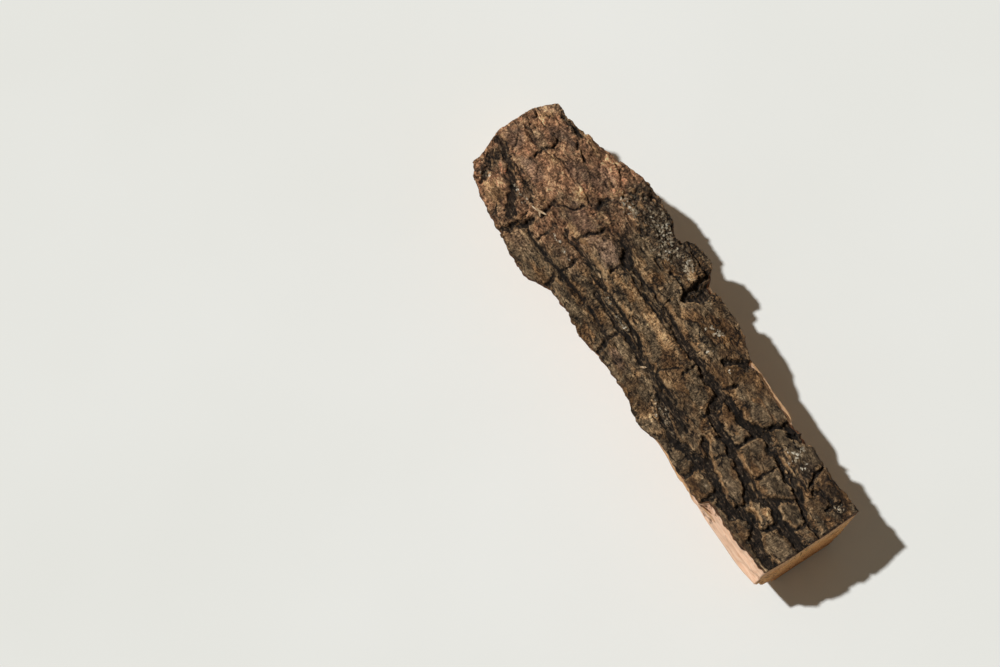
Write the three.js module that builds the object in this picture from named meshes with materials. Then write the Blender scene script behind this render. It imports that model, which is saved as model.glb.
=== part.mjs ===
// A split oak log for the hearth: one wedge of a round, sawn at both ends, split along
// two radial faces and once more across the heart, with its bark still on.
// Millimetres, +Z up. X runs along the grain, the bark faces up, and the log rests on
// the narrow split face at the heart side. The origin is the middle of the base.
import * as THREE from "three";
import { LoftGeometry } from "three/addons/geometries/LoftGeometry.js";

// Driving dimensions
const LENGTH = 400;
const TRUNK_RADIUS = 150;
const CROWN_HEIGHT = 84;
const BARK_THICKNESS = 9;

// Outline of the bark seen from above, as [x, y] stations along each edge
const LEFT_EDGE = [
  [-200, -37], [-191, -45], [-178, -53], [-140, -59], [-110, -62], [-77, -58], [-44, -53],
  [0, -52], [58, -54], [95, -52], [128, -46], [160, -42], [200, -39],
];
const RIGHT_EDGE = [
  [-200, 32], [-190, 35], [-159, 41], [-131, 51], [-101, 57], [-60, 56], [-44, 58],
  [-28, 62], [-12, 55], [23, 52], [61, 46], [120, 44], [200, 46],
];

// Split faces: where they turn under the bark, and the base they come down to
const LEFT_SHOULDER_HEIGHT = 52;
const LEFT_SHOULDER = [[-200, -34], [-150, -50], [-60, -50], [60, -50], [130, -50], [200, -48]];
const BASE_LEFT = [[-200, -21], [0, -25], [200, -23]];
const BASE_RIGHT = [[-200, 24], [0, 30], [200, 28]];

// Furrows of the bark, as [x, y] along the middle of each, with their width and depth
const FURROW_HALF_WIDTH = 6.5;
const FURROW_DEPTH = 4;
const FURROW_FADE = 24;
const FURROWS = [
  [[-62, 13], [-10, 10], [60, 9], [100, 15], [150, 14], [200, 9]],
  [[-95, -12], [-40, -18], [30, -22], [90, -32], [140, -33], [200, -29]],
  [[-85, -37], [-50, -36], [-22, -35]],
  [[75, 0], [110, -5], [150, -9], [200, -4]],
];

// Mesh resolution: stations along the grain, and points on each stretch of a section
const STATIONS = 48;
const BARK_STEPS = 32;
const FACE_STEPS = 6;

// Smooth curve through [x, y] stations, as a function of x that is constant past both ends
function curveThrough(stations) {
  const xs = stations.map(([x]) => x);
  const ys = stations.map(([, y]) => y);
  const curve = new THREE.CubicInterpolant(xs, ys, 1, new Float64Array(1));
  const first = xs[0];
  const last = xs[xs.length - 1];
  return (x) => curve.evaluate(THREE.MathUtils.clamp(x, first, last))[0];
}

const leftEdge = curveThrough(LEFT_EDGE);
const rightEdge = curveThrough(RIGHT_EDGE);
const leftShoulder = curveThrough(LEFT_SHOULDER);
const baseLeft = curveThrough(BASE_LEFT);
const baseRight = curveThrough(BASE_RIGHT);
const furrows = FURROWS.map((stations) => ({
  start: stations[0][0],
  end: stations[stations.length - 1][0],
  middle: curveThrough(stations),
}));

// How deep the furrows cut at a point of the bark: a bell across each, fading at its tips
function furrowDepth(x, y) {
  let depth = 0;
  for (const { start, end, middle } of furrows) {
    const across = (y - middle(x)) / FURROW_HALF_WIDTH;
    const past = Math.max(start - x, x - end, 0) / FURROW_FADE;
    const reach = end >= LENGTH / 2 && x > start ? 1 : Math.exp(-past * past);
    depth = Math.max(depth, FURROW_DEPTH * Math.exp(-across * across) * reach);
  }
  return depth;
}

// Height of the bark: the round of the trunk, less its furrows
function barkHeight(x, y) {
  return CROWN_HEIGHT - (y * y) / (2 * TRUNK_RADIUS) - furrowDepth(x, y);
}

// Points from one corner of a section to the next, leaving out the last
function stretch(from, to, steps) {
  return Array.from({ length: steps }, (_, i) => from.clone().lerp(to, i / steps));
}

// One section across the grain, anticlockwise as seen from the +X end:
// over the bark from right to left, down the left face, along the base and up the right face
function sectionAt(x) {
  const left = leftEdge(x);
  const right = rightEdge(x);
  const bark = Array.from({ length: BARK_STEPS }, (_, i) => {
    const y = THREE.MathUtils.lerp(right, left, i / BARK_STEPS);
    return new THREE.Vector3(x, y, barkHeight(x, y));
  });
  const barkLeft = new THREE.Vector3(x, left, barkHeight(x, left));
  const shoulder = new THREE.Vector3(x, leftShoulder(x), LEFT_SHOULDER_HEIGHT);
  const footLeft = new THREE.Vector3(x, baseLeft(x), 0);
  const footRight = new THREE.Vector3(x, baseRight(x), 0);
  const underBark = bark[0].clone().add(new THREE.Vector3(0, -1, -BARK_THICKNESS));
  return [
    ...bark,
    ...stretch(barkLeft, shoulder, FACE_STEPS / 2),
    ...stretch(shoulder, footLeft, FACE_STEPS),
    footLeft,
    ...stretch(footRight, underBark, FACE_STEPS),
    underBark,
  ];
}

function splitLog() {
  const sections = Array.from({ length: STATIONS + 1 }, (_, i) =>
    sectionAt(LENGTH * (i / STATIONS - 0.5)),
  );
  const geometry = new LoftGeometry(sections, { capStart: true, capEnd: true });
  const oak = new THREE.MeshStandardMaterial({ color: 0x7a5c42, roughness: 0.9, metalness: 0 });
  const log = new THREE.Mesh(geometry, oak);
  log.name = "split_log";
  return log;
}

// Sets the middle of the base at the origin
function centredOnBase(mesh) {
  mesh.geometry.computeBoundingBox();
  const middle = mesh.geometry.boundingBox.getCenter(new THREE.Vector3());
  mesh.geometry.translate(-middle.x, -middle.y, 0);
  return mesh;
}

const part = new THREE.Group();
part.add(centredOnBase(splitLog()));

export default part;
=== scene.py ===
import math
import bpy
import numpy as np
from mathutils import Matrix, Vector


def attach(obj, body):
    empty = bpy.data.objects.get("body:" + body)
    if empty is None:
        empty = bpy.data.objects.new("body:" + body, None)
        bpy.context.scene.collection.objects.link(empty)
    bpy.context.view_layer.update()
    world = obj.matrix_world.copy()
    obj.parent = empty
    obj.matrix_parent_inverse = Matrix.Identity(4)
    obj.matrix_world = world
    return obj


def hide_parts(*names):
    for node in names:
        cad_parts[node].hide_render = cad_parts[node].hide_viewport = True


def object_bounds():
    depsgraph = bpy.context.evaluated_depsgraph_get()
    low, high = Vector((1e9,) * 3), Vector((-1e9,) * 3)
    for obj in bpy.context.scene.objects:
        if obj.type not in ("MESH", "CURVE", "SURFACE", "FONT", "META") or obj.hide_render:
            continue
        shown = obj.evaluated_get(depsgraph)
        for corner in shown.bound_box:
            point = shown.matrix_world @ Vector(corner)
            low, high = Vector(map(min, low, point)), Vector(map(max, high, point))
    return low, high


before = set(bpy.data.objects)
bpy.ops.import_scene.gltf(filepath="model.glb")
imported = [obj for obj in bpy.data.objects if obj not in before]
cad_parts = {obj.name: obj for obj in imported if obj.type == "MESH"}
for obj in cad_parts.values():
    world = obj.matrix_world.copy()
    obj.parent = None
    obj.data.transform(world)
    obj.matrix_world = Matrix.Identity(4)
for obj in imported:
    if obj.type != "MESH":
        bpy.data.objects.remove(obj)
cadLow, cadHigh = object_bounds()
mm = 0.001
print("frame loaded, box", [round(v, 4) for v in (*cadLow, *cadHigh)])


# Numbers that vary over a surface

# eases from 0 at low to 1 at high
def ramp(low, high, value):
    t = np.clip((value - low) / (high - low), 0, 1)
    return t * t * (3 - 2 * t)


# a fixed random number from 0 to 1 for each square of an endless grid
def dice(column, row, seed):
    n = column.astype(np.int64) * 374761393 + row.astype(np.int64) * 668265263 + seed * 974634541
    n = n & 0xFFFFFFFF
    n = ((n ^ (n >> 13)) * 1274126177) & 0xFFFFFFFF
    return ((n ^ (n >> 16)) & 0xFFFFFF) / 0x1000000


# gradient noise: a random slope at each grid corner, eased from corner to corner, about -1 to 1
def drift(u, v, seed):
    u, v = np.broadcast_arrays(np.asarray(u, float), np.asarray(v, float))
    column, row = np.floor(u), np.floor(v)
    du, dv = u - column, v - row
    eu, ev = (d ** 3 * (d * (d * 6 - 15) + 10) for d in (du, dv))
    total = np.zeros(u.shape)
    for cu in (0, 1):
        for cv in (0, 1):
            turn = dice(column + cu, row + cv, seed) * 2 * math.pi
            slope = np.cos(turn) * (du - cu) + np.sin(turn) * (dv - cv)
            total += slope * (eu if cu else 1 - eu) * (ev if cv else 1 - ev)
    return total * 1.5


# drift added to itself at twice the pitch and a share of the height, octave by octave
def rough(u, v, seed, octaves, gain=0.5):
    return sum(drift(u * 2 ** k, v * 2 ** k, seed + k) * gain ** k for k in range(octaves))


# cells round one random point per grid square: how much nearer the nearest is than the second,
# its dice, and the way from it
def cells(u, v, seed):
    column, row = np.floor(u), np.floor(v)
    first = np.full(u.shape, 9.0)
    second = np.full(u.shape, 9.0)
    owner, du, dv = np.zeros((3, *u.shape))
    for cu in (-1, 0, 1):
        for cv in (-1, 0, 1):
            i, j = column + cu, row + cv
            gu, gv = u - i - dice(i, j, seed), v - j - dice(i, j, seed + 1)
            gap = np.hypot(gu, gv)
            nearer = gap < first
            second = np.where(nearer, first, np.minimum(second, gap))
            owner = np.where(nearer, dice(i, j, seed + 2), owner)
            du, dv = np.where(nearer, gu, du), np.where(nearer, gv, dv)
            first = np.where(nearer, gap, first)
    return second - first, owner, du, dv


# chips lying at odd heights and leans: each cell is a flat tile lifted and tipped by its own dice
def chips(x, y, along, across, seed, lift, tip):
    lead, owner, du, dv = cells(x / along, y / across, seed)
    return lift * (owner - 0.5) + tip * (du * np.cos(owner * 40) + dv * np.sin(owner * 40)), lead, owner


# shortest distance from each point to a line of points
def distanceTo(line, x, y):
    points = np.array(line, float)
    step = np.diff(points, axis=0)
    px, py = x[..., None] - points[:-1, 0], y[..., None] - points[:-1, 1]
    t = np.clip((px * step[:, 0] + py * step[:, 1]) / (step ** 2).sum(1), 0, 1)
    return np.hypot(px - t * step[:, 0], py - t * step[:, 1]).min(-1)


# smooth curve through (x, value) stations: cubic between each two, flat past both ends
def through(stations, x):
    xs, ys = np.array(stations, float).T
    slope = np.gradient(ys, xs)
    i = np.clip(np.searchsorted(xs, x) - 1, 0, len(xs) - 2)
    h = xs[i + 1] - xs[i]
    t = np.clip((x - xs[i]) / h, 0, 1)
    rise = ys[i + 1] - ys[i]
    a, b = slope[i] * h - rise, rise - slope[i + 1] * h
    return ys[i] + t * rise + t * (1 - t) * ((1 - t) * a + t * b)


# mean of each point and its neighbours along both axes, repeated
def soften(field, times):
    for _ in range(times):
        p = np.pad(field, 1, mode="edge")
        field = (p[:-2, 1:-1] + p[2:, 1:-1] + p[1:-1, :-2] + p[1:-1, 2:] + 2 * p[1:-1, 1:-1]) / 6
    return field


# The log, in millimetres: x along the grain, bark up, pith below the base

log = {
    "length": (cadHigh[0] - cadLow[0]) / mm, "crown": cadHigh[2] / mm,
    "trunkRadius": 150, "woodRadius": 141,
    # edges of the bark from above, the torn ledge beside it, corners of the split faces, and the flat base
    "leftEdge": [(-200, -46), (-189, -49.5), (-179, -52), (-166, -55), (-135, -59), (-110, -61.5),
                 (-89, -60), (-80, -55), (-52, -51), (-30, -53), (-9, -50), (24, -50), (34, -50),
                 (42, -53.5), (58, -53.5), (68, -50), (100, -50.5), (112, -50), (126, -49.5),
                 (128.5, -49), (131, -44.3), (134, -43.6), (161, -43.5), (181, -41), (200, -39)],
    "rightEdge": [(-200, 35), (-180, 35.5), (-169, 38), (-143, 45), (-125, 53), (-104, 59.5), (-87, 59),
                  (-69, 58), (-50, 55), (-45, 60), (-39, 62.5), (-21, 62.5), (-16, 59), (-10, 54),
                  (8, 53), (40, 51), (50, 47), (61, 44), (68, 42.5), (90, 41.5), (113, 42), (119, 44),
                  (136, 44.5), (155, 45), (172, 44), (184, 46), (200, 46)],
    "ledge": [(-200, 0), (-10, 0.3), (8, 1.2), (50, 0.8), (63, 4.2), (90, 5.4), (110, 5.0), (119, 1.0),
              (150, 0.5), (200, 0.3)],
    "shoulder": [(-200, -31), (-150, -45), (-60, -43), (60, -43), (100, -45), (120, -48), (150, -49.5),
                 (185, -49), (200, -47)],
    "shoulderHeight": [(-200, 50), (0, 52), (200, 53)],
    "baseLeft": [(-200, -21), (0, -25), (200, -23)],
    "baseRight": [(-200, 24), (0, 30), (200, 28)],
    # along the grain: where wood is torn off on the left, where that is fresh, its stain's middle and
    # reach, and where the ledge on the right is torn (begins, full, still full, ends)
    "stripAt": (104, 130), "freshAt": (108, 133), "stainAt": (137, 9), "ledgeAt": (46, 64, 113, 122),
    # sawn ends: middle across and up, how far the bark's corners bow back at each, over what length,
    # and from where to where across and up
    "endMiddle": (2, 42), "endBow": {-1: 9, 1: 1.5}, "bowLength": 26,
    "bowAcross": (14, 44), "bowUp": (30, 74),
    # grid: rows along the grain, and rings on the ends
    "rows": 360, "capRings": 15,
}
log["pith"] = log["crown"] - log["trunkRadius"]
# grid: columns on each stretch of the section, and those of fresh wood past the facet
columns = {"top": 142, "side": 6, "facet": 13, "leftFace": 33, "base": 6, "rightFace": 37,
           "ledge": 4, "fresh": 9}
stretches = ("side", "facet", "leftFace", "base", "rightFace", "ledge", "side")  # from the left edge round

bark = {
    # clear furrows and thin cracks: half width, depth and the line each follows
    "furrows": [
        (3.8, 4.6, [(6, 8.5), (24, 9.5), (41, 9), (52, 8)]),
        (3.9, 5.2, [(50, 8), (65, 9), (81, 12), (93, 11), (102, 13.5), (112, 19.5), (125, 18.5),
                    (141, 17), (158, 16), (169, 14)]),
        (2.6, 4.8, [(167, 14), (176, 10.5), (185, 9), (203, 9)]),
        (4.8, 5.6, [(69, 6), (75, -2), (81, -7), (99, -8), (109, -9), (122, -10), (135, -12), (146, -14),
                    (152, -9), (160, -6), (168, -7), (173, -11), (179, -8.5), (203, -8)]),
        (2.4, 4.4, [(89, -21), (97, -24), (106, -27)]),
        (4.6, 5.4, [(106, -29), (116, -32), (126, -34), (138, -36), (147, -36), (152, -29), (159, -26),
                    (168, -28), (175, -32), (183, -34), (203, -33)]),
        (2.8, 5.2, [(133, -14), (143, -19), (149, -22), (150, -30)]),
        (2.0, 4.8, [(173, -12), (174, -18), (171, -26)]),
        (4.4, 4.6, [(44, -29), (53, -34), (61, -38), (77, -39), (95, -35), (106, -32)]),
        (5.0, 6.2, [(61, 48), (60, 41)]), (2.5, 5.2, [(60, 40), (54, 33), (48, 26)]),
        (5.6, 7.5, [(118, 42), (125, 41), (131, 45)]), (2.4, 6.0, [(116, 44), (116, 35)]),
        (3.2, 5.6, [(-17, 57), (-13.5, 44), (-13, 35), (-9, 30)]),
        (3.7, 6.8, [(-10, 56), (-4.5, 50), (-3.5, 40), (-7, 31)]), (4.0, 5.2, [(-63, 11), (-57, 8)]),
        (2.0, 4.6, [(-63, 56), (-53, 54), (-44, 55), (-31, 57), (-18, 56)]),
        (1.9, 3.8, [(-184, 33), (-175, 34)]), (1.9, 3.8, [(-169, 35), (-160, 36)]),
        (2.6, 3.8, [(183, 33), (174, 31), (168, 25)]),
        (2.6, 4.6, [(-128, -13), (-125, -20), (-124, -26)]),
        (2.6, 5.0, [(-125, -34), (-127, -41), (-131, -51), (-134, -58)]),
        (1.2, 4.0, [(-133, -34), (-132, -43), (-132, -50)]), (2.6, 3.4, [(-107, 23), (-105, 14)]),
    ],
    # frayed bands: share of the floor that is sunk all over, then half width, depth and line
    "bands": [
        (0.2, 4.6, 3.2, [(-57, 7.5), (-43, 7), (-29, 7), (-8, 8), (10, 8.5)]),
        (0.55, 4.0, 3.6, [(-112, -22), (-102, -18.5), (-90, -17), (-75, -17), (-60, -16)]),
        (0.3, 5.4, 3.2, [(-62, -19), (-48, -22), (-25, -22.5), (1, -23)]),
        (0.6, 5.2, 3.8, [(4, -24), (21, -25), (46, -26), (77, -29)]),
        (0.4, 2.6, 3.0, [(-124, -40), (-102, -41), (-83, -40), (-59, -37), (-34, -37), (-16, -38)]),
        (0.7, 4.6, 4.0, [(-195, -21), (-183, -21), (-173, -24), (-164, -28), (-154, -34), (-146, -40),
                         (-139, -45)]),
        (0.4, 2.4, 2.8, [(-173, -21), (-160, -20), (-148, -21), (-137, -26)]),
        (0.6, 4.6, 3.0, [(-192, -34), (-184, -39), (-175, -47)]),
        (0.5, 2.0, 2.6, [(-152, -53), (-140, -54)]),
        (0.5, 5.0, 2.6, [(-106, 22), (-100, 44), (-92, 52)]), (0.5, 4.0, 2.6, [(-84, 12), (-66, 14)]),
        (0.6, 4.0, 3.2, [(114, 21), (136, 19.5), (151, 19), (162, 20)]),
        (0.3, 3.0, 2.4, [(-190, 4), (-176, 2), (-150, 12)]),
        (0.3, 3.0, 2.4, [(-150, 28), (-132, 24), (-118, 30)]),
    ],
    "cracks": [
        (1.0, 3.2, [(-57, 11), (-40, 10), (-27, 11), (-14, 12), (8, 12)]),
        (0.9, 2.8, [(-55, 4), (-39, 3), (-13, 3), (4, 4.5)]),
        (1.2, 3.2, [(-60, -14.5), (-51, -19.5), (-39, -18), (-25, -18), (-6, -19), (10, -21)]),
        (1.5, 3.4, [(-50, -26), (-38, -26), (-25, -27), (-12, -26), (14, -27)]),
        (0.9, 2.8, [(-126, -41), (-96, -41.5), (-83, -40), (-58, -37), (-38, -36.5), (-16, -38)]),
        (1.6, 4.8, [(117, 37), (111, 28), (107, 21), (102, 15)]),
        (1.3, 3.4, [(-168, 19), (-166, 11), (-168, 4), (-167, -5)]),
        (1.1, 2.6, [(-159, 31), (-153, 26)]), (0.9, 2.2, [(-150, -50), (-148, -56)]),
        (0.8, 2.0, [(-188, -6), (-180, -17)]), (0.8, 1.8, [(-198, 16), (-180, 15)]),
        (1.0, 2.8, [(-112, 5), (-112, -2), (-121, -8), (-126, -14)]),
        (1.5, 3.8, [(-88, 7), (-88, -1), (-92, -5), (-91, -14)]),
        (1.0, 2.6, [(-111, -27), (-111, -38)]), (1.1, 2.8, [(-79, -22), (-79, -37)]),
        (1.5, 3.6, [(-79, -45), (-75, -57)]), (0.9, 2.6, [(-47, 35), (-47, 30), (-44, 26), (-39, 27)]),
        (1.2, 3.2, [(-32, 31), (-24, 33), (-14, 33)]), (1.0, 2.6, [(-14, 18), (-15, 11)]),
        (1.1, 3.2, [(40, 6), (40, -7)]), (0.9, 2.4, [(33, -7), (29, -15), (26, -20)]),
        (0.9, 2.2, [(-57, 6), (-55, -18)]), (1.5, 3.8, [(-15, -30), (-16, -38), (-13, -43), (-9, -51)]),
        (1.2, 3.4, [(69, 24), (67, 14)]), (1.4, 4.6, [(108, 14), (110, -5)]),
        (1.1, 3.8, [(137, 12), (138, -6)]), (1.3, 4.2, [(166, 8), (159, -2), (153, -8)]),
        (1.1, 3.8, [(186, 9), (185, -4)]), (1.2, 4.0, [(155, 45), (159, 32), (164, 21)]),
        (1.3, 3.8, [(187, 38), (185, 25)]), (1.5, 4.0, [(104, -36), (106, -45), (103, -52)]),
        (1.9, 4.6, [(129, -36), (130, -49)]), (0.9, 2.6, [(109, -8), (108, -20), (106, -27)]),
        (0.8, 2.2, [(84, -8), (82, -17)]),
    ],
    # swellings and hollows: centre, reach along and across, and height
    "swells": [(-21, 45, 4, 7, 2.4), (-9, 43, 6, 12, -5.0), (-160, -44, 12, 10, 2.0),
               (-146, 39, 14, 5, 1.4), (-144, 2, 20, 10, 1.2), (-100, -3, 16, 8, 1.2),
               (10, -39, 22, 8, 1.4), (-105, 18, 7, 9, -1.8)],
    # smooth plates, crumbling spots and stains: centre, reach along and across
    "plain": [(-160, -45, 13, 10), (92, 30, 18, 9), (-96, -2, 14, 7), (-103, -51, 20, 6),
              (-178, -8, 12, 8), (0, -2, 30, 6)],
    "scaly": [(-184, -32, 10, 10), (-152, -25, 12, 6), (-98, 22, 10, 12), (-142, -48, 6, 7),
              (-172, 35, 14, 5)],
    "tan": [(-149, 39, 15, 4), (-155, 6, 9, 5), (-119, 8, 7, 8), (-109, 32, 7, 5), (-133, -19, 6, 5),
            (-161, -45, 12, 9), (-25, 0, 16, 4), (14, -4, 18, 5), (-191, 22, 4, 6), (-95, 12, 9, 3),
            (-50, 17, 7, 4), (-37, 17, 7, 4), (-10, -2, 14, 5), (14, 0, 9, 5), (-48, -5, 12, 5),
            (25, 17, 3, 4), (35, -18, 9, 4), (-19, -13, 10, 3), (20, -35, 8, 3), (47, -46, 9, 7),
            (168, 21, 6, 3.4), (157, -21, 8, 4), (162, -14, 8, 3), (112, -42, 6, 4), (-21, 45, 5, 7),
            (-100, -13, 14, 3), (-92, 36, 12, 5), (90, -17, 8, 4), (78, -2, 4, 3), (124, -6, 14, 2)],
    "plum": [(-187, -10, 9, 7), (-166, 26, 10, 4), (-130, 22, 11, 5), (-112, -2, 8, 7), (-100, -3, 16, 8),
             (-121, 30, 12, 7), (-158, -11, 11, 6), (-172, 20, 7, 5), (-142, 16, 9, 6), (-70, 1, 12, 7),
             (2, -40, 9, 4), (-108, -10, 9, 4)],
    # soot, with painted shade in some hollows and a strip of painted shade on the bark's edge at the +x
    # sawn end
    "sootAndShade": [(200.6, 12, 2.2, 60), (152, 30, 9, 7), (-184, -38, 8, 8), (-97, 48, 8, 10), (-105, 19, 5, 8),
             (-68, 14, 12, 8), (176, 34, 9, 9), (192, 33, 7, 5), (-189, -33, 8, 8), (-156, -33, 14, 3),
             (124, 40, 8, 5), (138, 21, 22, 5), (-62, 46, 26, 12), (-14, 43, 4, 12), (-4, 43, 5.5, 11),
             (60, 42, 5, 7), (125, 42, 9, 5), (182, 34, 18, 10), (60, -34, 16, 8), (-175, 34, 14, 3)],
    "lichen": [(4, 43, 4, 3), (27, 36, 4, 3), (19, 30, 2, 2), (59, 26, 2, 2), (36, 19, 3, 3),
               (-30, 46, 9, 6), (138, 28, 7.5, 6.5), (151, 29, 5.5, 5), (189, 34, 5, 4),
               (-176, -44, 5, 4), (-68, 47, 16, 11), (-50, 42, 15, 10), (-92, 36, 11, 7),
               (-42, -21, 9, 1.5), (-20, -23, 10, 1.7), (-93, -27, 14, 1.4), (56, -37, 12, 4),
               (-150, -30, 8, 3)],
}

wood = {
    "ringPitch": 2.8,
    # distances from the pith: sapwood, heart, start of the inner bark, and its outer layer
    "sap": (128, 142), "heart": (125, 105), "innerBark": 138.8, "outerBark": (145.5, 149.5),
}


# how strongly a point lies in any of a list of oval patches, 1 in the middle of one
def patches(ovals, x, y):
    return np.max([np.exp(-((x - cx) / rx) ** 2 - ((y - cy) / ry) ** 2)
                   for cx, cy, rx, ry in ovals], axis=0)


# depth of the lines at each point: flat floor, steep walls, width changing as given
def cut(lines, x, y, width):
    deep = np.zeros(x.shape)
    for halfWidth, depth, line in lines:
        gap = distanceTo(line, x, y) / (halfWidth * width)
        deep = np.maximum(deep, depth * ramp(1.25, 0.55, gap))
    return deep


# relief of the bark above its mean surface and the masks its paint reads:
# lines and chips are looked up at drifted coordinates, so that nothing runs straight
def barkRelief(x, y):
    xw = x + 2.0 * drift(x / 13, y / 9, 1) + 1.1 * drift(x / 4.5, y / 4, 2)
    yw = y + 1.5 * drift(x / 15, y / 8, 3) + 1.0 * drift(x / 4, y / 4.5, 4)
    # where the bark is old and flaking, split into blocks, or scaly
    old = ramp(-62, -112, x + 14 * drift(x / 30, y / 22, 5) + 45 * ramp(-32, -44, y))
    blocky = ramp(62, 104, x + 10 * drift(x / 30, y / 22, 6))
    scaly = ramp(-112, -92, x) * ramp(-2, -26, x) * ramp(22, 38, y + 5 * drift(x / 12, y / 9, 7))
    scaly = np.maximum(scaly, patches(bark["scaly"], xw, yw))
    plain = patches(bark["plain"], xw, yw)
    crumb, _, crumbOwner = chips(xw, yw, 3.4, 2.7, 10, 1.0, 0.7)
    # clear furrows, frayed bands of long thin grooves side by side, and cracks
    width = (1 + 0.4 * drift(x / 7, y / 7, 8)) * (0.72 + 0.56 * crumbOwner) * (1 - 0.2 * old)
    furrow = cut(bark["furrows"], xw, yw, width)
    fray = ramp(-0.25, 0.3, drift(xw / 14, yw / 1.9, 14) + 0.5 * drift(x / 5, y / 3, 15))
    band = np.max([cut([line], xw, yw, width) * (fill + (1 - fill) * fray)
                   for fill, *line in bark["bands"]], axis=0)
    crack = cut(bark["cracks"], xw, yw, (0.8 + 0.4 * width) * (1 - 0.15 * old))
    groove = np.maximum(furrow, band)
    deep = np.maximum(groove, crack)
    bed = ramp(1.2, 3.8, np.maximum(furrow, band * 0.9))
    # plates with sunk rims, tipped flakes, and layers lifting one off the other: stairs cut from slow noise
    plate, plateLead, tone = chips(xw, yw, 19, 8.5, 20, 1.3, 0.5)
    plate = (plate - 0.8 * ramp(0.13, 0.02, plateLead)) * (1 - 0.6 * blocky)
    xo = x + 7 * drift(x / 24, y / 17, 21) + 1.5 * drift(x / 5, y / 4, 22)
    yo = y + 5 * drift(x / 21, y / 15, 23) + 1.3 * drift(x / 4, y / 5, 24)
    flake, flakeLead, flakeOwner = chips(xo, yo, 16, 11, 25, 1.9, 1.3)
    flake = (flake - 0.9 * ramp(0.11, 0.01, flakeLead)) * (0.35 + 0.4 * old) * (1 - 0.5 * blocky)
    level = 3.2 * rough(x / 27, y / 12, 30, 4, 0.55) + 0.35 * drift(x / 3, y / 3, 35)
    stairs = np.floor(level) + ramp(0.75, 1.0, level - np.floor(level))
    layers = 0.75 * stairs * (1 - 0.4 * blocky - 0.3 * old)
    ridges = 0.9 * rough(x / 60, y / 6.5, 40, 3) * (1 - blocky) * (1 - 0.6 * old)
    lumps = 1.4 * rough(x / 30, y / 20, 45, 2) * (0.5 + 0.5 * old)
    swells = sum(rise * patches([oval], xw, yw) for *oval, rise in bark["swells"])
    scale, _, _ = chips(xw, yw, 3.8, 3.1, 50, 1.7, 1.1)
    height = (plate + flake + layers + ridges) * (1 - 0.6 * plain) + lumps + swells + scaly * scale
    height = height * (1 - 0.7 * bed) - deep
    crumbly = 0.34 - 0.14 * old - 0.14 * plain + bed + 0.5 * scaly
    height += crumb * crumbly + (0.35 - 0.15 * old) * rough(x / 3, y / 2.4, 60, 2)
    height += bed * (1.5 * rough(x / 7, y / 4.2, 65, 2) + 0.5 * drift(x / 12, y / 1.8, 67))
    # how far the bark drops to its left within three columns: rims of the plates that face the light, for
    # painted highlights
    fall = np.pad(height[:, :-3] - height[:, 3:], ((0, 0), (0, 3)))
    masks = {
        "furrow": np.maximum(ramp(1.3, 3.2, groove), ramp(0.8, 2.4, crack)),
        "proud": height - soften(height, 12), "old": old, "blocky": blocky, "scaly": scaly, "tone": tone,
        "sunwardRim": ramp(0.9, 2.6, fall), "plain": plain, "chip": flakeOwner,
    }
    masks.update({name: patches(bark[name], xw, yw) for name in ("tan", "plum", "sootAndShade", "lichen")})
    return height, masks


# points from one corner line to the next, spread evenly, leaving out the last
def stretch(start, end, count):
    t = np.arange(count)[None, :, None] / count
    return start[:, None] * (1 - t) + end[:, None] * t


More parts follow.
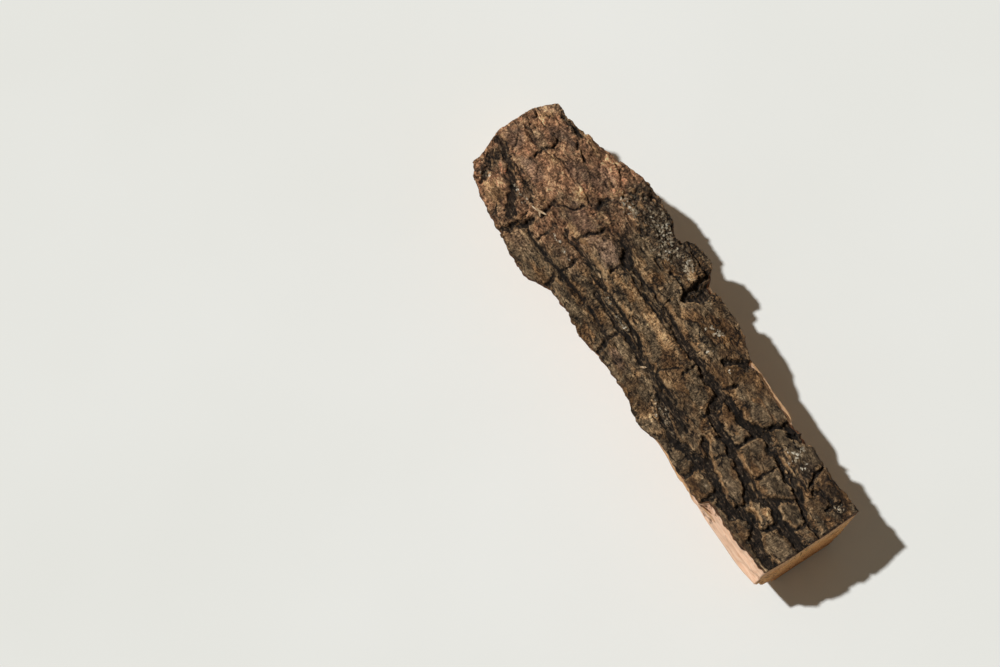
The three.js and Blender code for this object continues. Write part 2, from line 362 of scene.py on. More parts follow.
# skin of the log as rows by columns: the bark from right to left, then round the split faces and the base
def logSkin():
    end = log["length"] / 2
    rows = np.linspace(-end, end, log["rows"] + 1)

    # two drifts along an edge of the bark, dying out at the sawn ends
    def ragged(seed):
        fray = 0.7 * drift(rows / 8, 0.5, seed) + 0.5 * drift(rows / 3, 0.5, seed + 1)
        return fray * ramp(0, 12, end - np.abs(rows))

    left = through(log["leftEdge"], rows) + ragged(70)
    right = through(log["rightEdge"], rows) + ragged(73)
    t = np.linspace(0, 1, columns["top"] + 1)
    x = np.repeat(rows[:, None], len(t), 1)
    y = right[:, None] * (1 - t) + left[:, None] * t
    relief, masks = barkRelief(x, y)
    # the bark lies on a round trunk, and its relief stands out from the pith
    mean = np.sqrt(log["trunkRadius"] ** 2 - y ** 2) + log["pith"]
    away = np.stack([0 * x, y, mean - log["pith"]], -1)
    away /= np.linalg.norm(away, axis=-1, keepdims=True)
    top = np.stack([x, y, mean], -1) + relief[..., None] * away

    # a corner line at a given y, at the wood's own radius from the pith less a depth
    def onWood(y, depth):
        z = np.sqrt((log["woodRadius"] - depth) ** 2 - y ** 2) + log["pith"]
        return np.stack([rows, y, z], -1)

    # one coordinate of a corner line: the curve through its stations, wavering a little
    def corner(name, waver, pitch, seed):
        return through(log[name], rows) + waver * drift(rows / pitch, 0, seed)

    # the bark is thin where wood was torn off beside it: the pale strip on the left, the ledge on the right
    begins, full, ebbs, ends = log["ledgeAt"]
    strip = ramp(*log["stripAt"], rows)
    torn = ramp(begins, full, rows) * ramp(ends, ebbs, rows)
    footLeft = onWood(left + 1.6 - 2.2 * strip, 0.4 * drift(rows / 6, 0, 76) - 5 * strip)
    footRight = onWood(right - 0.6, 0.4 * drift(rows / 6, 0, 77) - 4.5 * torn)
    # the wood under the right bark runs straighter than the bark's own edge: the mean along the log
    # of the edge's least within 23 mm
    least = np.lib.stride_tricks.sliding_window_view(np.pad(right, 10, mode="edge"), 21).min(-1)
    straight = np.convolve(np.pad(least, 24, mode="edge"), np.full(49, 1 / 49), mode="valid")
    straight += corner("ledge", 0.5, 14, 78) + 0.7 * torn * drift(rows / 4, 0, 83)
    edgeRight = onWood(straight - 0.6, 1.2 - 4.5 * torn)
    shoulder = np.stack([rows, corner("shoulder", 0.8, 30, 79), corner("shoulderHeight", 1.5, 45, 80)], -1)
    baseLeft = np.stack([rows, corner("baseLeft", 1.0, 40, 81), 0 * rows], -1)
    baseRight = np.stack([rows, corner("baseRight", 1.0, 40, 82), 0 * rows], -1)
    corners = (top[:, -1], footLeft, shoulder, baseLeft, baseRight, edgeRight, footRight, top[:, 0])
    faces = [stretch(*pair, columns[name]) for name, *pair in zip(stretches, corners, corners[1:])]
    skin = np.concatenate([top[:, :-1], *faces], 1)
    # how fresh the torn wood is, and how stained
    pale, stain = np.zeros((2, *skin.shape[:2]))
    facet = columns["top"] + columns["side"] + np.arange(columns["facet"] + columns["fresh"])
    ledge = slice(-columns["side"] - columns["ledge"], -columns["side"] + 1)
    pale[:, facet] = ramp(*log["freshAt"], rows)[:, None] * np.linspace(1.6, 0, len(facet)).clip(0, 1)
    pale[:, ledge] = 0.38 * torn[:, None]
    middle, reach = log["stainAt"]
    stain[:, facet] = np.exp(-((rows - middle) / reach) ** 2)[:, None]
    return rows, skin, masks, {"pale": pale, "stain": stain}


# split wood tears along the grain: long ridges and steps across the face, pushed out along its normal;
# the sides of the bark crumble
def tearSplitFaces(skin):
    along = np.gradient(skin, axis=0)
    around = np.roll(skin, -1, 1) - np.roll(skin, 1, 1)
    out = np.cross(around, along)
    out /= np.linalg.norm(out, axis=-1, keepdims=True) + 1e-9
    x = skin[..., 0]
    travel = np.cumsum(np.linalg.norm(np.diff(skin, axis=1, prepend=skin[:, :1]), axis=-1), axis=1)
    arc = np.repeat(travel.mean(0)[None], len(skin), 0)
    level = 2.6 * rough(x / 150, arc / 10, 90, 3)
    steps = 1.25 * (np.floor(level) + ramp(0.7, 1, level - np.floor(level)))
    ridges = 1.8 * drift(x / 170, arc / 34, 94) + 0.75 * rough(x / 80, arc / 3.2, 95, 3)
    tear = steps + ridges + 0.3 * drift(x / 9, arc / 3, 99)
    crumble = 1.5 * rough(x / 9, arc / 2.4, 130, 3)
    # both are held back at the corner lines
    torn, crumbly = np.zeros((2, skin.shape[1]))
    start = columns["top"]
    for name in stretches:
        count = columns[name]
        t = np.arange(count) / count
        share = crumbly if name == "side" else torn
        share[start:start + count] = ramp(0, 0.18, t) * ramp(1, 0.82, t) * (0.4 if name == "ledge" else 1)
        start += count
    moved = skin + out * (tear * torn + crumble * crumbly)[..., None]
    # the base only ever moves inward
    first = sum(columns[name] for name in ("top", "side", "facet", "leftFace"))
    base = slice(first, first + columns["base"])
    moved[:, base, 2] = np.abs(moved[:, base, 2]) * 0.6
    skin[:, columns["top"]:] = moved[:, columns["top"]:]
    return skin


# the sawn ends bow back a little at the bark's corners
def sawnEnd(y, z, side):
    return log["endBow"][side] * ramp(*log["bowAcross"], np.abs(y - 1)) * ramp(*log["bowUp"], z)


# end cap: rings shrinking from the section to its middle, bark relief fading as they go in,
# with saw ripple and radial checks pressed into the face
def endCap(ring, side):
    middle = np.array(log["endMiddle"], float)
    share = np.linspace(1, 0.06, log["capRings"] + 1)[1:, None, None]
    yz = middle + (ring[None, :, 1:] - middle) * share
    y, z = yz[..., 0], yz[..., 1]
    above = z - log["pith"]
    angle, radius = np.arctan2(y, above) * 60, np.hypot(y, above)
    ripple = 0.18 * drift(y / 40 + z / 2.2, z / 60, 110) + 0.15 * rough(y / 4, z / 4, 112, 2)
    parted = np.abs(drift(angle / 5, radius / 60, 115))
    check = ramp(0.32, 0.05, parted) * ramp(0.1, 0.5, drift(angle / 9, radius / 25, 118))
    inward = sawnEnd(y, z, side) + (ripple + 1.1 * check) * ramp(1, 0.93, share[..., 0])
    x = side * (log["length"] / 2 - inward)
    return np.concatenate([x[..., None], yz], -1)


# closed mesh of skin and caps, faces turned outward
def logMesh():
    rows, skin, masks, woodMasks = logSkin()
    skin = tearSplitFaces(skin)
    n, m = skin.shape[:2]
    ends = ((-1, 0), (1, n - 1))
    for side, end in ends:
        near = ramp(log["bowLength"], 0, log["length"] / 2 - side * rows)[:, None]
        skin[..., 0] -= side * near * sawnEnd(skin[end, :, 1], skin[end, :, 2], side)[None]
    points = [skin.reshape(-1, 3)]
    grid = np.arange(n * m).reshape(n, m)
    nextCol = np.roll(grid, -1, 1)
    quads = [np.stack([grid[:-1], grid[1:], nextCol[1:], nextCol[:-1]], -1).reshape(-1, 4)]
    fans, offset = [], n * m
    for side, end in ends:
        cap = endCap(skin[end], side)
        rings = np.concatenate([grid[end][None], offset + np.arange(cap.shape[0] * m).reshape(-1, m)])
        turned = np.roll(rings, -1, 1)
        loop = [rings[:-1], turned[:-1], turned[1:], rings[1:]]
        fan = [rings[-1], turned[-1], np.full(m, offset + cap.shape[0] * m)]
        quads.append(np.stack(loop if side < 0 else loop[::-1], -1).reshape(-1, 4))
        fans.append(np.stack(fan if side < 0 else fan[::-1], -1))
        points += [cap.reshape(-1, 3), cap[-1].mean(0)[None]]
        offset += cap.shape[0] * m + 1
    faces = [f for block in (*quads, *fans) for f in block.tolist()]
    mesh = bpy.data.meshes.new("split_log")
    mesh.from_pydata((np.concatenate(points) * mm).tolist(), [], faces)
    # bark is the first material, wood the second
    material = np.ones(len(faces), int)
    column = np.tile(np.arange(m), n - 1)
    material[:len(column)] = column >= columns["top"]
    mesh.polygons.foreach_set("material_index", material)
    mesh.shade_smooth()
    # bark masks are 0 off the bark, and wood masks on the ends
    fields = {name: np.zeros(offset) for name in (*masks, *woodMasks, "sawn")}
    for name, field in masks.items():
        fields[name][:n * m].reshape(n, m)[:, :columns["top"] + 1] = field
    for name, field in woodMasks.items():
        fields[name][:n * m] = field.ravel()
    fields["sawn"][n * m:] = 1
    for name, field in fields.items():
        attribute = mesh.attributes.new(name, "FLOAT", "POINT")
        attribute.data.foreach_set("value", field.astype(np.float32))
    return mesh, skin


# Paint

# sRGB steps of 255 to the linear colour a shader takes
def paint(red, green, blue):
    steps = np.array([red, green, blue])
    linear = np.where(steps > 10, ((steps / 255 + 0.055) / 1.055) ** 2.4, steps / 255 / 12.92)
    return (*linear.tolist(), 1.0)


# a material in the making: most methods add a node and give back its output, coats change the colour
class Paint:
    def __init__(self, name, tints):
        self.tints = tints
        self.material = bpy.data.materials.new(name)
        self.material.use_nodes = True
        self.tree = self.material.node_tree
        self.shader = self.tree.nodes["Principled BSDF"]
        self.coords = self.node("TexCoord").outputs["Object"]
        self.colour = None

    # a link to another node, or else a plain value
    def put(self, socket, value):
        if isinstance(value, bpy.types.NodeSocket):
            self.tree.links.new(value, socket)
        else:
            socket.default_value = value

    # a node with the named inputs filled
    def node(self, kind, **inputs):
        made = self.tree.nodes.new("ShaderNode" + kind)
        for name, value in inputs.items():
            self.put(made.inputs[name], value)
        return made

    # the object's own coordinates, moved and stretched
    def place(self, scale=(1, 1, 1), location=(0, 0, 0), turn=(0, 0, 0)):
        made = self.node("Mapping", Vector=self.coords, Scale=scale, Location=location, Rotation=turn)
        return made.outputs[0]

    # noise about 0.5, octaves added at twice the pitch and a share of the height
    def noise(self, vector, scale, detail=4.0, roughness=0.6, distortion=0.0):
        made = self.node("TexNoise", Vector=vector, Scale=scale, Detail=detail,
                         Roughness=roughness, Distortion=distortion)
        return made.outputs["Fac"]

    # noise drawn out along the log
    def streaky(self, squeeze, *shape):
        return self.noise(self.place((squeeze, 1, 1)), *shape)

    # coordinates pushed about by noise
    def shake(self, vector, scale, reach):
        push = self.node("TexNoise", Vector=vector, Scale=scale, Detail=3.0).outputs["Color"]
        made = self.node("VectorMath")
        made.operation = "MULTIPLY_ADD"
        for socket, value in zip(made.inputs, (push, (reach, reach, reach), vector)):
            self.put(socket, value)
        return made.outputs[0]

    # distance to the nearest wall between cells
    def walls(self, vector, scale):
        made = self.node("TexVoronoi", Vector=vector, Scale=scale)
        made.feature = "DISTANCE_TO_EDGE"
        return made.outputs["Distance"]

    # a field kept on the points of the mesh
    def mask(self, name):
        made = self.node("Attribute")
        made.attribute_name = name
        return made.outputs["Fac"]

    # one operation on up to three values
    def math(self, operation, a, b=0.5, c=0.5, clamp=False):
        made = self.node("Math")
        made.operation, made.use_clamp = operation, clamp
        for socket, value in zip(made.inputs, (a, b, c)):
            self.put(socket, value)
        return made.outputs[0]

    def plus(self, a, b):
        return self.math("ADD", a, b)

    def minus(self, a, b):
        return self.math("SUBTRACT", a, b)

    def times(self, a, b):
        return self.math("MULTIPLY", a, b)

    def most(self, a, b):
        return self.math("MAXIMUM", a, b)

    # a times b, plus c
    def scaled(self, a, b, c, clamp=False):
        return self.math("MULTIPLY_ADD", a, b, c, clamp)

    # 0 to 1 as value goes from low to high
    def between(self, value, low, high):
        made = self.node("MapRange", **{"Value": value, "From Min": low, "From Max": high})
        made.interpolation_type = "SMOOTHSTEP"
        return made.outputs[0]

    # a and b mixed by share
    def blend(self, share, a, b, how="MIX"):
        made = self.node("Mix")
        made.data_type, made.blend_type = "RGBA", how
        for socket, value in ((0, share), (6, a), (7, b)):
            self.put(made.inputs[socket], value)
        return made.outputs[2]

    # a ladder of colours along a value: position and linear colour of each rung
    def ladder(self, value, rungs):
        made = self.node("ValToRGB", Fac=value)
        elements = made.color_ramp.elements
        while len(elements) < len(rungs):
            elements.new(1.0)
        for element, (position, colour) in zip(elements, rungs):
            element.position, element.color = position, colour
        return made.outputs[0]

    # the ladder of a named list of tints
    def bands(self, value, name):
        return self.ladder(value, [(position, paint(*tint)) for position, tint in self.tints[name]])

    # a named tint or another colour laid over the colour so far, by share times strength
    def coat(self, over, share, strength=1.0, how="MIX"):
        if isinstance(over, str):
            over = paint(*self.tints[over])
        self.colour = self.blend(self.times(share, strength), self.colour, over, how)

    # greys along a value, laid over the colour so far as light and shade
    def shade(self, value, *greys, share=1.0):
        rungs = [(position, (grey, grey, grey, 1)) for position, grey in greys]
        self.coat(self.ladder(value, rungs), share, how="OVERLAY")

    # normals tipped by the slope of a height
    def bump(self, height, distance, strength=1.0, normal=None):
        made = self.node("Bump", Height=height, Distance=distance, Strength=strength)
        if normal is not None:
            self.put(made.inputs["Normal"], normal)
        return made.outputs[0]

    # the colour so far, roughness and normals given to the shader
    def finish(self, roughness, normal):
        look = {"Base Color": self.colour, "Roughness": roughness, "Normal": normal,
                "Specular IOR Level": 0.25}
        for name, value in look.items():
            self.put(self.shader.inputs[name], value)
        return self.material


# colours of the bark in sRGB steps, each along the noise it follows
barkTints = {
    "brown": [(0.34, (56, 38, 25)), (0.5, (112, 81, 52)), (0.64, (162, 121, 78))],
    "grey": [(0.34, (50, 40, 29)), (0.5, (90, 74, 55)), (0.64, (130, 109, 82))],
    "aged": [(0.34, (82, 56, 41)), (0.5, (156, 113, 82)), (0.64, (220, 173, 129))],
    "olive": [(0.34, (62, 51, 41)), (0.5, (116, 97, 75)), (0.64, (172, 147, 114))],
    "plum": [(0.34, (60, 45, 37)), (0.62, (126, 100, 83))],
    # fresh flakes; also the painted highlights on rims that face the light
    "fresh": [(0.34, (112, 80, 51)), (0.5, (164, 126, 86)), (0.64, (206, 170, 126))],
    # soot; also painted shade in hollows and at one sawn end
    "sootAndShade": [(0.4, (20, 15, 12)), (0.62, (66, 53, 41))],
    # furrow floors, dark in colour and with painted shade, also laid in pits and cracks
    "depthsAndShade": [(0.42, (8, 7, 6)), (0.52, (26, 20, 16)), (0.60, (58, 46, 35)), (0.70, (126, 103, 78))],
    "lichen": [(0.0, (98, 82, 62)), (0.6, (166, 147, 120)), (1.0, (236, 222, 196))],
    "fleck": (196, 166, 126),
}


# bark: brown and grey plates, black furrows with painted shade, tan where a flake is fresh, reddish and
# olive where it is old
def barkPaint():
    p = Paint("bark", barkTints)
    old, blocky, scaly, plain, chip = (p.mask(name) for name in ("old", "blocky", "scaly", "plain", "chip"))
    furrow, proud, sunwardRim, tan, lichen = (p.mask(name) for name in ("furrow", "proud", "sunwardRim", "tan", "lichen"))
    broad = p.streaky(0.6, 42, 3, 0.55)
    mottle = p.streaky(0.6, 210, 6, 0.68, 0.6)
    # the finest grain runs along the log in some places and across it in others
    lengthwise = p.streaky(0.46, 860, 5, 0.78)
    crosswise = p.noise(p.place((1, 0.45, 0.45)), 860, 5, 0.78)
    turned = p.between(p.noise(p.coords, 34, 2), 0.41, 0.55)
    grain = p.scaled(turned, p.minus(crosswise, lengthwise), lengthwise)
    uneven = p.minus(grain, 0.5)
    grit = p.noise(p.coords, 2400, 2, 0.7)
    # plates are brown or grey by their own dice, old bark is reddish and faded, blocks are darker
    greyer = p.scaled(p.mask("tone"), 0.22, p.scaled(chip, 0.1, broad))
    p.colour = p.bands(mottle, "brown")
    p.coat(p.bands(mottle, "grey"), p.between(greyer, 0.5, 0.74))
    p.coat(p.bands(mottle, "aged"), old)
    faded = p.times(old, p.between(p.noise(p.coords, 56, 4, 0.6), 0.5, 0.6))
    p.coat(p.bands(mottle, "olive"), faded, 0.6)
    p.coat((0.7, 0.7, 0.72, 1), blocky, 0.5, "MULTIPLY")
    # stains, fresh flakes, and soot; some soot patches are painted shade in hollows and along the bark's
    # edge at one sawn end
    stained = p.between(p.plus(p.mask("plum"), broad), 0.66, 1.05)
    p.coat(p.bands(mottle, "plum"), stained, 0.62)
    fresh = p.bands(mottle, "fresh")
    flaked = p.scaled(p.times(tan, plain), 0.25, p.scaled(grain, 0.7, mottle))
    flaked = p.between(p.scaled(tan, 0.6, flaked), 1.06, 1.44)
    p.coat(fresh, flaked, 0.7)
    sootAndShade = p.minus(p.plus(p.scaled(scaly, 0.35, p.mask("sootAndShade")), 0.5), mottle)
    p.coat(p.bands(grain, "sootAndShade"), p.between(sootAndShade, 0.2, 0.75), 0.85)
    # broad clouding, each flake a little lighter or darker than the next, then the grain of the surface,
    # weaker on old bark and on the blocks
    p.shade(broad, (0.36, 0.28), (0.5, 0.49), (0.64, 0.72))
    p.shade(chip, (0.0, 0.3), (1.0, 0.66))
    crisp = p.scaled(blocky, -0.3, p.scaled(old, -0.22, 1.0))
    p.shade(grain, (0.40, 0.08), (0.5, 0.48), (0.60, 1.0), share=crisp)
    p.coat("fleck", p.between(grain, 0.6, 0.7), 0.45)
    # worn tops, painted highlights on rims that face the light, furrows with ragged sides dark in colour
    # and with painted shade, and pits painted dark as shade
    litRims = p.times(sunwardRim, p.between(p.scaled(tan, 0.2, broad), 0.4, 0.54))
    wornAndLit = p.times(p.most(p.between(proud, 0.3, 1.2), litRims), p.between(grain, 0.42, 0.6))
    p.coat(fresh, wornAndLit, p.scaled(tan, 0.35, 0.6))
    pitShade = p.times(p.between(proud, -0.3, -1.15), 0.9)
    sunk = p.between(p.scaled(uneven, 1.4, furrow), 0.28, 0.7)
    darkAndShaded = p.most(p.times(sunk, 0.95), pitShade)
    # thin fissures are walls of long cells broken up by noise, and gaps those of small cells in scaly bark;
    # both are painted dark
    ragged = p.times(uneven, 0.16)
    rougher = p.scaled(plain, -0.8, 1.0)
    fissure = p.plus(p.walls(p.shake(p.place((0.5, 1, 1)), 120, 0.014), 95), ragged)
    fissure = p.times(p.between(fissure, 0.06, 0.02), p.between(p.noise(p.coords, 75, 3), 0.47, 0.56))
    fissure = p.times(fissure, p.scaled(old, -0.5, rougher, clamp=True))
    gaps = p.plus(p.walls(p.shake(p.coords, 300, 0.006), 270), ragged)
    gaps = p.times(p.between(gaps, 0.13, 0.04), p.scaled(old, 0.6, scaly))
    gaps = p.times(gaps, p.times(p.between(p.noise(p.coords, 130, 2), 0.4, 0.6), rougher))
    parted = p.most(fissure, gaps)
    darkAndShaded = p.most(darkAndShaded, p.times(parted, 0.94))
    # strands along the bottom of the furrows, and painted highlights on the rims over their edges that face
    # the light
    strand = p.scaled(uneven, 0.5, p.streaky(0.16, 420, 5, 0.7))
    strand = p.scaled(p.minus(1.0, blocky), 0.02, strand)
    p.coat(p.bands(strand, "depthsAndShade"), darkAndShaded)
    lit = p.between(p.scaled(tan, 0.3, p.scaled(grain, 0.5, broad)), 0.78, 0.94)
    p.coat(fresh, p.times(sunwardRim, lit), 0.8)
    # crumbs of lichen: one cell in so many is pale, more of them where the mask is strong
    cell = p.node("TexVoronoi", Vector=p.shake(p.coords, 420, 0.005), Scale=440.0)
    pick = p.node("SeparateColor", Color=cell.outputs["Color"])
    crust = p.scaled(lichen, 0.74, p.scaled(grain, 0.5, pick.outputs[0]))
    crust = p.scaled(scaly, 0.14, p.scaled(furrow, 0.08, crust))
    crust = p.times(p.between(crust, 1.22, 1.36), p.between(cell.outputs["Distance"], 0.66, 0.4))
    thick = p.scaled(p.most(scaly, furrow), -0.45, p.scaled(lichen, 0.4, pick.outputs[1]))
    crumbs = p.bands(p.scaled(p.minus(grit, 0.5), 1.2, thick), "lichen")
    p.coat(crumbs, crust, p.scaled(lichen, 0.6, 0.4, clamp=True))
    p.shade(grit, (0.32, 0.14), (0.66, 0.97), share=p.times(crisp, 0.7))
    normal = p.bump(mottle, 0.0026, 0.7)
    normal = p.bump(grain, 0.0012, p.times(crisp, 0.95), normal)
    normal = p.bump(p.minus(1.0, parted), 0.0008, 0.8, normal)
    return p.finish(0.92, normal)


# colours of the wood and the inner bark, in sRGB steps
woodTints = {
    "fibre": [(0.3, (138, 86, 46)), (0.48, (198, 143, 92)), (0.66, (230, 183, 132))],
    "lateWood": (146, 92, 50), "darkStreak": (120, 72, 38), "paleStreak": (234, 192, 144),
    "parting": (74, 42, 22), "sap": (228, 190, 148), "heart": (160, 100, 54),
    "sawn": [(0.32, (170, 110, 56)), (0.5, (220, 160, 96)), (0.68, (241, 194, 130))],
    "earlyWood": (134, 82, 40), "rays": (236, 196, 142), "holes": (76, 44, 22),
    "torn": [(0.3, (212, 154, 116)), (0.5, (238, 196, 164)), (0.66, (248, 216, 190))],
    "blot": (92, 52, 30),
    "innerBark": [(0.34, (58, 35, 23)), (0.5, (120, 76, 49)), (0.66, (176, 124, 84))],
    "outerBark": [(0.36, (38, 28, 21)), (0.66, (120, 94, 68))], "layerLine": (44, 28, 19),
}


# wood: rings about the pith and fibres along the grain; on the sawn ends pores, rays, checks and saw marks;
# inner bark in thin layers outside the rings
def woodPaint():
    p = Paint("wood", woodTints)
    pale, sawn = p.mask("pale"), p.mask("sawn")
    apart = p.node("SeparateXYZ", Vector=p.place(location=(0, 0, -log["pith"] * mm)))
    y, z = apart.outputs["Y"], apart.outputs["Z"]
    radius = p.math("SQRT", p.plus(p.times(y, y), p.times(z, z)))
    angle = p.math("ARCTAN2", y, z)

    # noise over angle and radius, so that it runs out from the pith
    def spokes(turns, rings, detail, roughness=0.6):
        polar = p.node("CombineXYZ", X=p.times(angle, turns), Y=p.times(radius, rings))
        return p.noise(polar.outputs[0], 1.0, detail, roughness)

    # 0 to 1 between two distances from the pith, wandering with a noise
    def shell(noise, reach, limits):
        return p.between(p.scaled(noise, reach, radius), *(limit * mm for limit in limits))

    # rings grow wider and narrower by turns, and waver as they go round
    waver = p.streaky(0.12, 60, 4, 0.5)
    years = p.noise(p.node("CombineXYZ", X=p.times(radius, 90.0)).outputs[0], 1.0, 2)
    phase = p.scaled(waver, 2.0, p.times(years, 5.0))
    ring = p.math("FRACT", p.scaled(radius, 1 / (wood["ringPitch"] * mm), phase))
    early = p.between(ring, 0.5, 0.08)
    fibre = p.streaky(0.02, 1300, 6, 0.65)
    streak = p.streaky(0.04, 170, 6, 0.62)
    broad = p.streaky(0.25, 30, 3, 0.5)
    p.colour = p.bands(fibre, "fibre")
    p.coat("lateWood", p.between(ring, 0.55, 0.98), 0.5)
    p.coat("darkStreak", p.between(streak, 0.5, 0.64), 0.75)
    p.coat("paleStreak", p.between(streak, 0.48, 0.34), 0.45)
    # thin dark lines where the fibres parted
    line = p.math("ABSOLUTE", p.minus(p.streaky(0.022, 330, 4, 0.6), 0.5))
    broken = p.between(p.streaky(0.1, 80, 3), 0.44, 0.58)
    parting = p.times(p.between(line, 0.022, 0.004), broken)
    p.coat("parting", parting, 0.8)
    # sawn ends: early wood of each ring is open and dark, rays are pale, the saw left fine slanting marks
    splitColour = p.colour
    p.colour = p.bands(p.noise(p.coords, 520, 5, 0.7), "sawn")
    p.coat("earlyWood", early, p.scaled(broad, 0.9, 0.05))
    p.coat("rays", p.between(spokes(170.0, 30.0, 2), 0.57, 0.72), 0.5)
    marks = p.noise(p.place((1, 0.05, 1), turn=(0.35, 0, 0)), 460, 3, 0.6)
    p.shade(marks, (0.36, 0.3), (0.5, 0.5), (0.64, 0.68), share=0.8)
    p.colour = p.blend(sawn, splitColour, p.colour)
    # paler sapwood towards the bark, and a browner heart
    p.coat("sap", shell(broad, 0.02, wood["sap"]), 0.4)
    p.coat("heart", shell(broad, 0.03, wood["heart"]), 0.4)
    # pores in the early wood, and dark checks running out from the pith
    pore = p.node("TexVoronoi", Vector=p.place((0.05, 1, 1)), Scale=900.0)
    pores = p.times(p.between(pore.outputs["Distance"], 0.34, 0.2), early)
    split = p.math("ABSOLUTE", p.minus(spokes(24.0, 26.0, 3, 0.5), 0.5))
    checks = p.times(p.between(split, 0.016, 0.005), p.between(p.noise(p.coords, 45, 2), 0.45, 0.56))
    holes = p.times(p.most(pores, checks), sawn)
    p.coat("holes", holes, 0.85)
    # wood torn open last is paler and pinker, stained where the tear began
    ragged = p.between(p.scaled(p.minus(streak, 0.5), 2.4, pale), 0.3, 0.6)
    ragged = p.times(ragged, p.between(pale, 0.02, 0.2))
    p.coat(p.bands(fibre, "torn"), ragged)
    blot = p.scaled(p.mask("stain"), 0.2, p.streaky(0.5, 230, 5, 0.68))
    p.coat("blot", p.between(blot, 0.68, 0.76), 0.85)
    # inner bark: layers with dark lines between them, frayed where they meet the wood
    frayed = p.scaled(p.streaky(0.3, 620, 4, 0.7), 0.002, wood["innerBark"] * mm)
    edge = p.scaled(p.noise(p.coords, 150, 3, 0.6), 0.0022, frayed)
    inBark = p.times(p.between(p.minus(radius, edge), 0.0, 0.0005), p.between(pale, 0.32, 0.12))
    crumbly = p.streaky(0.16, 480, 6, 0.72)
    layer = p.math("FRACT", p.scaled(radius, 560.0, p.times(crumbly, 3.0)))
    woodColour = p.colour
    p.colour = p.bands(crumbly, "innerBark")
    p.coat("layerLine", p.between(layer, 0.5, 0.95), 0.55)
    p.coat(p.bands(crumbly, "outerBark"), shell(crumbly, 0.006, wood["outerBark"]), 0.65)
    p.colour = p.blend(inBark, woodColour, p.colour)
    normal = p.bump(fibre, 0.0009, 0.6)
    normal = p.bump(streak, 0.0022, 0.6, normal)
    normal = p.bump(p.minus(1.0, p.most(parting, holes)), 0.0008, 0.7, normal)
    normal = p.bump(p.times(crumbly, inBark), 0.003, 0.7, normal)
    return p.finish(0.84, normal)


flakeTints = {"fibre": [(0.34, (122, 92, 64)), (0.5, (184, 154, 118)), (0.66, (224, 204, 174))]}


# loose flakes: the pale inside of the bark, fibres along the grain
def flakePaint():
    p = Paint("pale flake", flakeTints)
    fibre = p.streaky(0.1, 700, 4, 0.65)
    p.colour = p.bands(fibre, "fibre")
    return p.finish(0.85, p.bump(fibre, 0.0006, 0.6))


floorTints = {"ground": [(0.3, (228, 228, 223)), (0.7, (232, 232, 228))]}


# floor: pale, with the faintest unevenness
def floorPaint():
    p = Paint("pale floor", floorTints)
    p.colour = p.bands(p.noise(p.coords, 3.0, 3, 0.5), "ground")
    return p.finish(0.95, p.bump(p.noise(p.coords, 900, 2), 0.0001, 0.1))


# an object at the origin holding a mesh, lamp or lens
def addObject(name, data, *materials):
    made = bpy.data.objects.new(name, data)
    for material in materials:
        data.materials.append(material)
    bpy.context.scene.collection.objects.link(made)
    return made


# Loose flakes and splinters

loose = {
    "rings": 12, "around": 8,
    # on the bark: start and end seen from above, half width, thickness, and lift at start and end
    "pale": [(-134, -28.5, -121.5, -23.5, 1.0, 0.8, 0.8, 3.0),
             (-130.5, -24.6, -123, -27.6, 0.8, 0.7, 0.6, 1.8),
             (16.8, -30.2, 19.6, -25.4, 1.0, 0.9, 1.0, 1.8),
             (-62, -14.6, -57.5, -15.6, 0.9, 0.8, 0.8, 1.0)],
    "brown": [(-131, -36, -130, -47, 1.4, 1.0, 0.8, 0.6), (163, 22.6, 172, 20.2, 1.5, 1.0, 1.2, 1.8),
              (164, 19.4, 171, 18.6, 1.1, 0.9, 0.8, 1.6), (150, -20, 158, -21.5, 1.2, 0.9, 0.6, 1.6),
              (-110, 33, -103, 36, 1.6, 1.0, 0.6, 1.8), (-151, 30, -143, 33, 1.6, 1.0, 0.6, 1.4)],
    # on the wood: start and end along the grain and by column of the skin, half width, thickness and lifts
    "splinters": [(127, 150, 139, 152, 1.0, 0.8, 0.6, 2.2), (124, 153, 146, 154, 0.9, 0.7, 0.4, 1.6),
                  (-70, 151, -48, 152, 0.9, 0.7, 0.4, 2.0), (20, 152, 52, 151, 1.0, 0.8, 0.4, 1.8),
                  (-140, 153, -118, 154, 0.9, 0.7, 0.3, 1.6), (66, 159, 96, 160, 1.0, 0.8, 0.4, 2.2),
                  (-30, 168, 6, 169, 1.1, 0.8, 0.4, 2.0), (92, 174, 120, 173, 1.0, 0.7, 0.4, 1.8)],
    "flakesFace": [0.0, 0.0, 1.0], "splintersFace": [0.0, -0.94, 0.34],
}


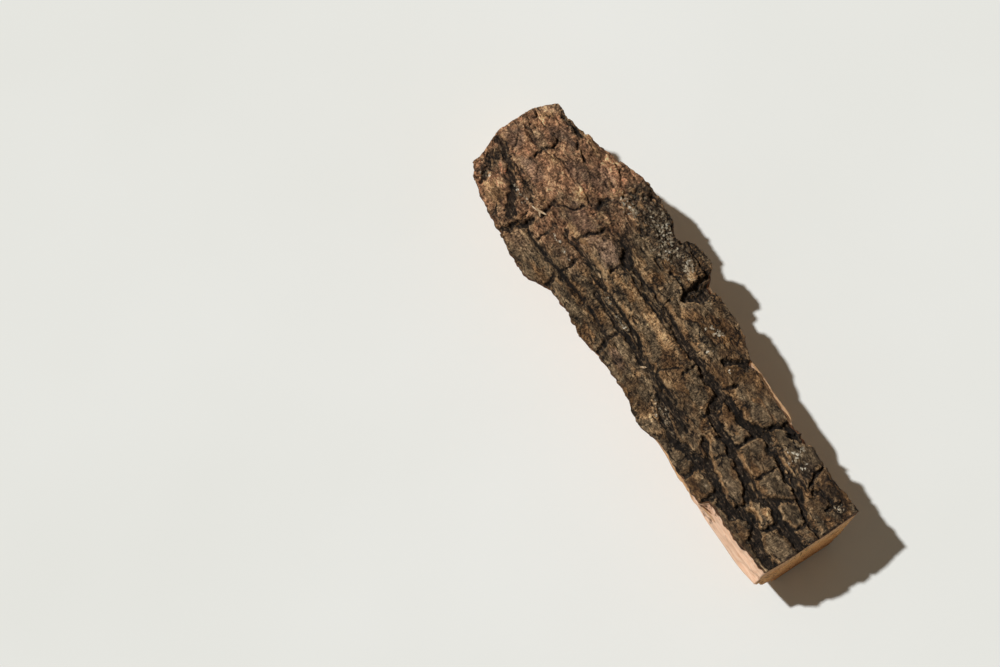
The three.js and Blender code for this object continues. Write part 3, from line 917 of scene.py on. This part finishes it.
# blades: a lens-shaped section carried along a line, widest in the middle, pointed and closed at both ends
def bladeMesh(name, blades, seat, up):
    x0, place0, x1, place1, *shape = np.array(blades, float).T
    start, end, up = seat(x0, place0), seat(x1, place1), np.array(up)
    halfWidth, thickness, liftStart, liftEnd = (value[:, None, None] for value in shape)
    u = np.linspace(0.05, 0.95, loose["rings"])
    turn = np.arange(loose["around"]) / loose["around"] * 2 * math.pi
    side = np.cross(up, end - start)
    side /= np.linalg.norm(side, axis=-1, keepdims=True)

    # straight from start to end, each end lifted by the square of its nearness
    def line(t):
        lift = liftStart * (1 - t) ** 2 + liftEnd * t ** 2
        return start[:, None] * (1 - t) + end[:, None] * t + up * lift

    taper = (np.sin(u * math.pi) ** 0.6)[None, :, None, None]
    across = halfWidth[..., None] * taper * np.cos(turn)[:, None] * side[:, None, None]
    upward = 0.5 * thickness[..., None] * taper * np.sin(turn)[:, None] * up
    rings = line(u[None, :, None])[:, :, None] + across + upward
    count, n, m = rings.shape[:3]
    poles = np.concatenate([line(np.zeros((1, 1, 1))), line(np.ones((1, 1, 1)))], 1)
    grid = np.arange(count * n * m).reshape(count, n, m)
    turned = np.roll(grid, -1, 2)
    quads = np.stack([grid[:, :-1], turned[:, :-1], turned[:, 1:], grid[:, 1:]], -1).reshape(-1, 4)
    tips = count * n * m + np.arange(count * 2).reshape(count, 2)
    first = np.stack([np.repeat(tips[:, :1], m, 1), turned[:, 0], grid[:, 0]], -1).reshape(-1, 3)
    last = np.stack([np.repeat(tips[:, 1:], m, 1), grid[:, -1], turned[:, -1]], -1).reshape(-1, 3)
    mesh = bpy.data.meshes.new(name)
    points = np.concatenate([rings.reshape(-1, 3), poles.reshape(-1, 3)]) * mm
    mesh.from_pydata(points.tolist(), [], quads.tolist() + first.tolist() + last.tolist())
    mesh.shade_smooth()
    return mesh


# row of the skin nearest to each x
def nearestRow(x):
    return np.clip(np.round((x / log["length"] + 0.5) * log["rows"]), 0, log["rows"]).astype(int)


# seat of a flake: the point of the bark's grid nearest to x and then to y
def onBark(x, y):
    top = skin[nearestRow(x), :columns["top"] + 1]
    return top[np.arange(len(x)), np.abs(top[..., 1] - y[:, None]).argmin(-1)]


# seat of a splinter: the point of a split face nearest to x in the given column
def onFace(x, column):
    return skin[nearestRow(x), column.astype(int)]


logData, skin = logMesh()
barkLook, woodLook = barkPaint(), woodPaint()
splitLog = addObject("splitLog", logData, barkLook, woodLook)
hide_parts("split_log")
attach(splitLog, "root")
print("log skin made,", len(splitLog.data.polygons), "faces")

flakeUp, splinterUp = loose["flakesFace"], loose["splintersFace"]
for name, data, look in (
        ("paleFlakes", bladeMesh("pale_flakes", loose["pale"], onBark, flakeUp), flakePaint()),
        ("brownFlakes", bladeMesh("brown_flakes", loose["brown"], onBark, flakeUp), barkLook),
        ("splinters", bladeMesh("splinters", loose["splinters"], onFace, splinterUp), woodLook)):
    piece = addObject(name, data, look)
    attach(piece, "root")
print("flakes and splinters laid")


# Stage, light and camera

view = {"azimuth": 56.85, "elevation": 75.0, "lens": 100, "sensor": 36,
        "place": (0.39482, -0.40327, 2.12094)}
light = {"towards": (-0.40, -0.35, 0.85), "strength": 3.33, "spread": 2.2, "colour": (0.955, 0.982, 1.0),
         "fill": 0.143, "fillColour": (1.0, 0.835, 0.64, 1)}
floorReach = 20

floorMesh = bpy.data.meshes.new("floor")
corners = [(x * floorReach, y * floorReach, 0) for x, y in ((-1, -1), (1, -1), (1, 1), (-1, 1))]
floorMesh.from_pydata(corners, [], [(0, 1, 2, 3)])
floor = addObject("floor", floorMesh, floorPaint())

sunData = bpy.data.lights.new("sun", "SUN")
sunData.energy, sunData.angle = light["strength"], math.radians(light["spread"])
sunData.color = light["colour"]
sun = addObject("sun", sunData)
tx, ty, tz = light["towards"]
sun.rotation_euler = (math.atan2(math.hypot(tx, ty), tz), 0, math.atan2(ty, tx) + math.pi / 2)

world = bpy.data.worlds.new("studio")
bpy.context.scene.world = world
world.use_nodes = True
sky = world.node_tree.nodes["Background"]
sky.inputs["Color"].default_value = light["fillColour"]
sky.inputs["Strength"].default_value = light["fill"]

cameraData = bpy.data.cameras.new("camera")
cameraData.lens, cameraData.sensor_width = view["lens"], view["sensor"]
camera = addObject("camera", cameraData)
camera.location = view["place"]
camera.rotation_euler = (math.radians(90 - view["elevation"]), 0, math.radians(view["azimuth"]))
bpy.context.scene.camera = camera
bpy.context.scene.view_settings.view_transform = "Standard"
print("stage set")
